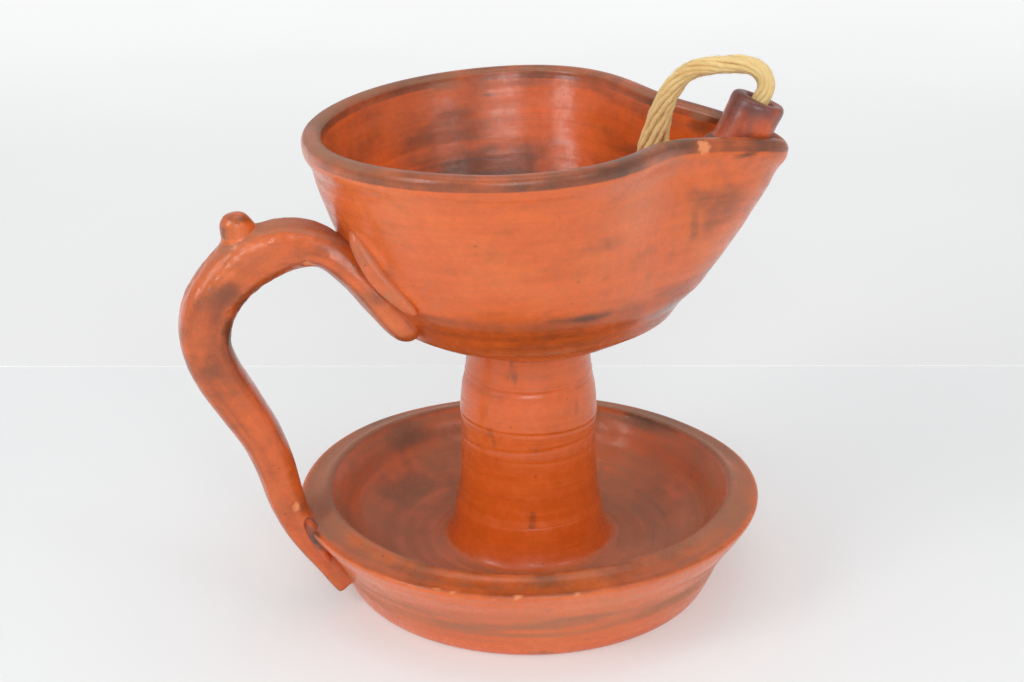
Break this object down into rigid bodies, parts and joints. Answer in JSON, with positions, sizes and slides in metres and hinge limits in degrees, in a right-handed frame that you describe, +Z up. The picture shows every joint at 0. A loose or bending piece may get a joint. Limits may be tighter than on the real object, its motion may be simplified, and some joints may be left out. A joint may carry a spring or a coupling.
{
  "type": "oil lamp",
  "caption": "Terracotta pedestal oil lamp: drip dish, hollow stem, pinched bowl with a lip, pulled side handle and a leaning clay tube that holds a cotton wick.",
  "frame": {"origin": "centre of the dish's flat foot, on the stem's axis, on the surface that the lamp stands on", "axes": "+Z up along the stem, +X from the stem's axis towards the lip and the wick tube, so the handle is on the -X side"},
  "size_m": [0.1734, 0.141, 0.162],
  "materials": {
    "terracotta": "burnished slip, semi-gloss, brushed streaks and worn grey-pink rims",
    "luting_clay": "smeared slip, semi-matt, darker than the body",
    "tube_clay": "smoked purple-brown terracotta, semi-gloss",
    "cotton": "unbleached twisted cotton, matt and slightly fuzzy"
  },
  "bodies": {
    "lamp": {"drip_dish": "terracotta", "stem": "terracotta", "stem_foot_coil": "terracotta", "bowl": "terracotta", "handle": "terracotta", "handle_root_lute": "luting_clay", "handle_foot_lute": "luting_clay", "thumb_knob": "terracotta", "wick_tube": "tube_clay", "tube_seat_coil": "luting_clay"},
    "wick": {"wick": "cotton", "wick_tail": "cotton"}
  },
  "joints": [
    {"name": "wick_feed", "type": "slide", "parent": "lamp", "child": "wick", "axis": [0.4067, 0, 0.9135], "range_m": [0, 0.01]}
  ]
}
